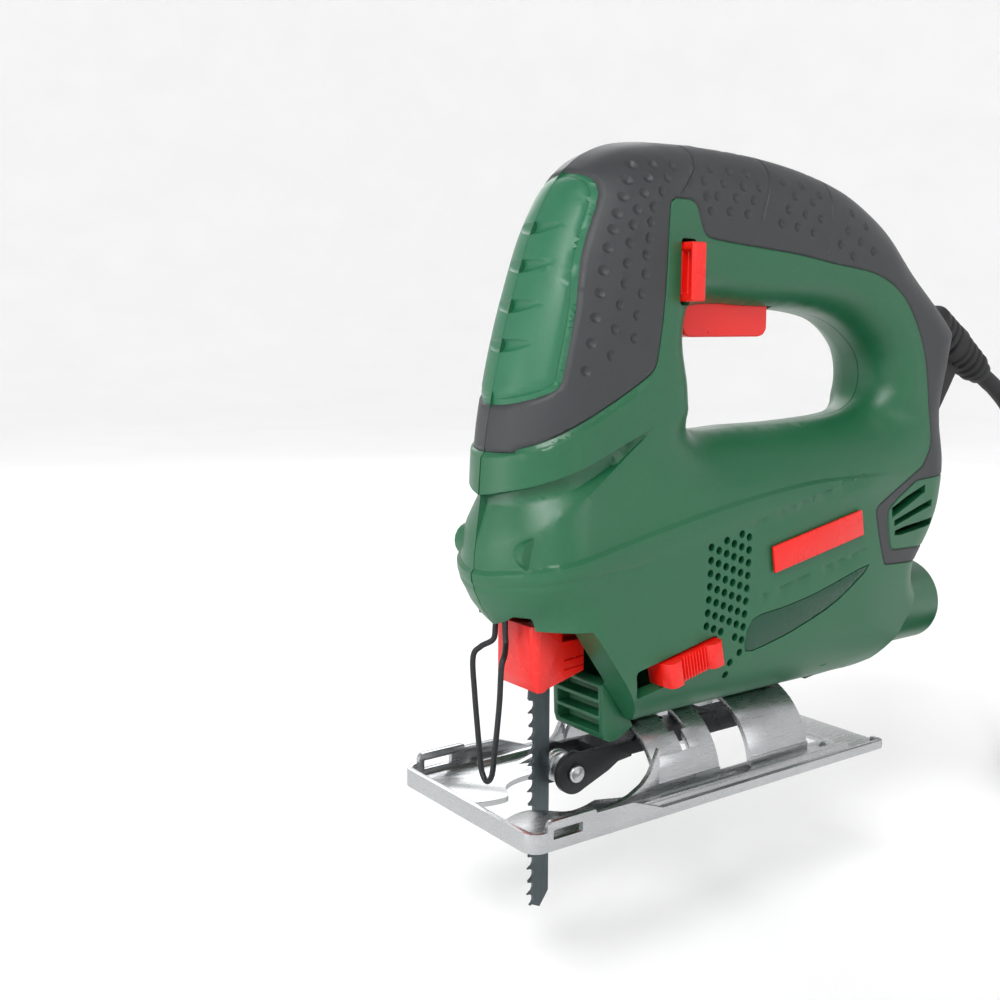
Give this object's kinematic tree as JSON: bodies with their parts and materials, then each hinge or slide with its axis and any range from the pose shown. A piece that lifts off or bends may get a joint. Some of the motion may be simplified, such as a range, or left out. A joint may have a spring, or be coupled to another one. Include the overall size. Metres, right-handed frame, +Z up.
{
  "type": "jigsaw",
  "caption": "Corded jigsaw with a closed loop handle, trigger and lock button, quick-change blade clamp, bevelling steel base plate, blower slider and dust port.",
  "frame": {"origin": "on the sole of the base plate, where the back edge of the saw blade crosses it", "axes": "+X to the rear, towards the dust port and the cord; +Z up along the blade; y = 0 is the seam between the housing halves"},
  "size_m": [0.4082, 0.1072, 0.27],
  "materials": {
    "green_shell": "fine-textured green nylon",
    "soft_green": "soft green insert",
    "grey_grip": "soft dark grey overmould",
    "red_parts": "satin red",
    "sheet_steel": "bright zinc-plated sheet",
    "plain_steel": "machined",
    "black_steel": "blackened steel",
    "blade_steel": "dark tool steel",
    "copper": "copper wire and bars",
    "bronze": "sintered bronze",
    "cast_aluminium": "die cast",
    "black_plastic": "matt black",
    "cord_rubber": "matt black",
    "brass": "bright"
  },
  "bodies": {
    "housing": {"housing_left": "green_shell", "housing_right": "green_shell", "type_plate": "green_shell", "dust_port": "green_shell", "chip_nozzle": "green_shell", "palm_panel": "soft_green", "grip_left": "grey_grip", "grip_right": "grey_grip", "badge": "red_parts", "housing_screw_1": "plain_steel", "housing_screw_2": "plain_steel", "housing_screw_3": "plain_steel", "housing_screw_4": "plain_steel", "housing_screw_5": "plain_steel", "housing_screw_6": "plain_steel", "front_bearing": "plain_steel", "rear_bearing": "plain_steel", "field_core": "plain_steel", "bracket_screw_front": "plain_steel", "bracket_screw_rear": "plain_steel", "roller_pin": "plain_steel", "wire_guard": "black_steel", "roller_bracket": "black_steel", "front_coil": "copper", "rear_coil": "copper", "lower_bush": "bronze", "upper_bush": "bronze", "gear_frame": "cast_aluminium", "switch_module": "black_plastic", "coil_tie": "black_plastic", "strain_relief": "cord_rubber", "cord_lead": "cord_rubber", "cord_coil": "cord_rubber", "cord_tail": "cord_rubber", "plug_body": "cord_rubber", "brush_holder_left": "brass", "brush_holder_right": "brass", "plug_pin_1": "brass", "plug_pin_2": "brass"},
    "plunger": {"plunger_rod": "plain_steel", "blade_clamp": "black_steel", "saw_blade": "blade_steel"},
    "lever": {"sds_lever": "red_parts"},
    "roller": {"guide_roller": "plain_steel"},
    "base": {"base_plate": "sheet_steel"},
    "trigger_body": {"trigger": "red_parts", "trigger_spring": "plain_steel"},
    "lock": {"lock_button": "red_parts"},
    "blower": {"blower_slider": "red_parts"},
    "armature": {"armature_shaft": "plain_steel", "armature_core": "plain_steel", "commutator": "copper", "cooling_fan": "black_plastic", "pinion": "plain_steel"},
    "gear": {"drive_gear": "plain_steel", "crank_pin": "plain_steel", "balance_weight": "plain_steel", "gear_axle": "plain_steel"}
  },
  "joints": [
    {"name": "stroke", "type": "slide", "parent": "housing", "child": "plunger", "axis": [0, 0, 1], "range_m": [-0.02, 0]},
    {"name": "clamp_release", "type": "hinge", "parent": "plunger", "child": "lever", "pos_m": [-0.004, 0, 0.049], "axis": [0, 0, 1], "range_deg": [0, 25], "stiffness_Nm_per_rad": 0.08, "springref_deg": -5.73},
    {"name": "roller_spin", "type": "hinge", "parent": "housing", "child": "roller", "pos_m": [0.0057, 0, 0.0078], "axis": [0, 1, 0], "continuous": true},
    {"name": "bevel", "type": "hinge", "parent": "housing", "child": "base", "pos_m": [0, 0, 0], "axis": [1, 0, 0], "range_deg": [-45, 45]},
    {"name": "trigger_pull", "type": "slide", "parent": "housing", "child": "trigger_body", "axis": [0, 0, 1], "range_m": [0, 0.0035], "stiffness_N_per_m": 800, "springref_m": -0.003},
    {"name": "lock_press", "type": "slide", "parent": "housing", "child": "lock", "axis": [0, 1, 0], "range_m": [0, 0.0025], "stiffness_N_per_m": 800, "springref_m": -0.002},
    {"name": "blower_slide", "type": "slide", "parent": "housing", "child": "blower", "axis": [-0.9799, 0, -0.1994], "range_m": [0, 0.007]},
    {"name": "armature_spin", "type": "hinge", "parent": "housing", "child": "armature", "pos_m": [0.05, 0, 0.073], "axis": [1, 0, 0], "continuous": true},
    {"name": "gear_spin", "type": "hinge", "parent": "housing", "child": "gear", "pos_m": [0.014, 0, 0.095], "axis": [1, 0, 0], "continuous": true}
  ],
  "couplings": [
    {"joint": "gear_spin", "follows": "armature_spin", "ratio": -0.14583}
  ]
}
